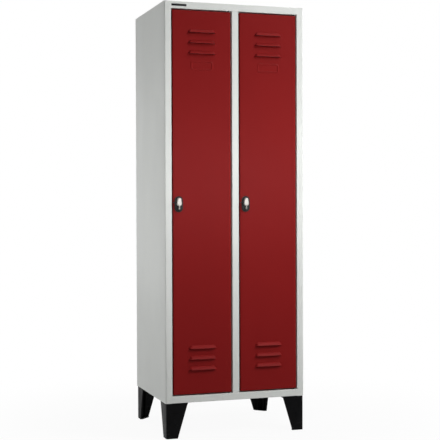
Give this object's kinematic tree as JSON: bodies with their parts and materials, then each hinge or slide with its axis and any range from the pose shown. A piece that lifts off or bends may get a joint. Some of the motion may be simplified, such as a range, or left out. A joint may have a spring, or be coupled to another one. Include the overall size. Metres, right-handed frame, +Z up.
{
  "type": "clothing locker",
  "caption": "Tall folded-steel clothing locker with louvred doors on hidden pins, turning padlock latches, hat shelves, coat rails with sliding hooks, and angle feet.",
  "frame": {"origin": "on the floor, under the middle of the whole locker's box", "axes": "+X to the right seen from the front, +Y to the back, +Z up; the doors face -Y"},
  "size_m": [0.63, 0.516, 1.85],
  "materials": {
    "grey_coat": "light grey powder coat, satin",
    "red_coat": "ruby red powder coat, satin",
    "black_moulding": "black moulded plastic, fine grain",
    "latch_black": "black die casting, satin",
    "nickel": "bright nickel plate",
    "zinc": "zinc-plated steel",
    "nylon": "black nylon",
    "black_steel": "blackened steel",
    "buffer_rubber": "black rubber"
  },
  "bodies": {
    "carcass": {"side_panel_left": "grey_coat", "side_panel_right": "grey_coat", "door_stop_left": "grey_coat", "door_stop_right": "grey_coat", "roof_panel": "grey_coat", "bottom_rail": "grey_coat", "floor_panel": "grey_coat", "back_panel": "grey_coat", "centre_partition": "grey_coat", "centre_stile": "grey_coat", "foot_front_left": "black_moulding", "foot_front_right": "black_moulding", "foot_rear_left": "black_moulding", "foot_rear_right": "black_moulding", "foot_bolts": "zinc", "foot_nuts": "zinc", "hat_shelf_left": "grey_coat", "coat_rail_left": "zinc", "rail_sockets_left": "black_moulding", "hinge_pins_left": "black_steel", "door_buffers_left": "buffer_rubber", "hat_shelf_right": "grey_coat", "coat_rail_right": "zinc", "rail_sockets_right": "black_moulding", "hinge_pins_right": "black_steel", "door_buffers_right": "buffer_rubber"},
    "door_left": {"door_panel_left": "red_coat", "door_stiffener_left": "red_coat", "hinge_bushes_left": "nylon", "latch_rosette_left": "latch_black", "barrel_nut_left": "zinc"},
    "latch_left": {"latch_handle_left": "nickel", "latch_tongue_left": "zinc", "tongue_screw_left": "zinc"},
    "hook_left_1": {"coat_hook_left_1": "black_moulding"},
    "hook_left_2": {"coat_hook_left_2": "black_moulding"},
    "hook_left_3": {"coat_hook_left_3": "black_moulding"},
    "door_right": {"door_panel_right": "red_coat", "door_stiffener_right": "red_coat", "hinge_bushes_right": "nylon", "latch_rosette_right": "latch_black", "barrel_nut_right": "zinc"},
    "latch_right": {"latch_handle_right": "nickel", "latch_tongue_right": "zinc", "tongue_screw_right": "zinc"},
    "hook_right_1": {"coat_hook_right_1": "black_moulding"},
    "hook_right_2": {"coat_hook_right_2": "black_moulding"},
    "hook_right_3": {"coat_hook_right_3": "black_moulding"}
  },
  "joints": [
    {"name": "door_left_swing", "type": "hinge", "parent": "carcass", "child": "door_left", "pos_m": [-0.0285, -0.2355, 1], "axis": [0, 0, 1], "range_deg": [0, 110]},
    {"name": "latch_left_turn", "type": "hinge", "parent": "door_left", "child": "latch_left", "pos_m": [-0.2545, -0.242, 0.996], "axis": [0, 1, 0], "range_deg": [0, 90]},
    {"name": "hook_left_1_slide", "type": "slide", "parent": "carcass", "child": "hook_left_1", "axis": [1, 0, 0], "range_m": [-0.025, 0.025]},
    {"name": "hook_left_2_slide", "type": "slide", "parent": "carcass", "child": "hook_left_2", "axis": [1, 0, 0], "range_m": [-0.025, 0.025]},
    {"name": "hook_left_3_slide", "type": "slide", "parent": "carcass", "child": "hook_left_3", "axis": [1, 0, 0], "range_m": [-0.025, 0.025]},
    {"name": "door_right_swing", "type": "hinge", "parent": "carcass", "child": "door_right", "pos_m": [0.2715, -0.2355, 1], "axis": [0, 0, 1], "range_deg": [0, 110]},
    {"name": "latch_right_turn", "type": "hinge", "parent": "door_right", "child": "latch_right", "pos_m": [0.0455, -0.242, 0.996], "axis": [0, 1, 0], "range_deg": [0, 90]},
    {"name": "hook_right_1_slide", "type": "slide", "parent": "carcass", "child": "hook_right_1", "axis": [1, 0, 0], "range_m": [-0.025, 0.025]},
    {"name": "hook_right_2_slide", "type": "slide", "parent": "carcass", "child": "hook_right_2", "axis": [1, 0, 0], "range_m": [-0.025, 0.025]},
    {"name": "hook_right_3_slide", "type": "slide", "parent": "carcass", "child": "hook_right_3", "axis": [1, 0, 0], "range_m": [-0.025, 0.025]}
  ]
}
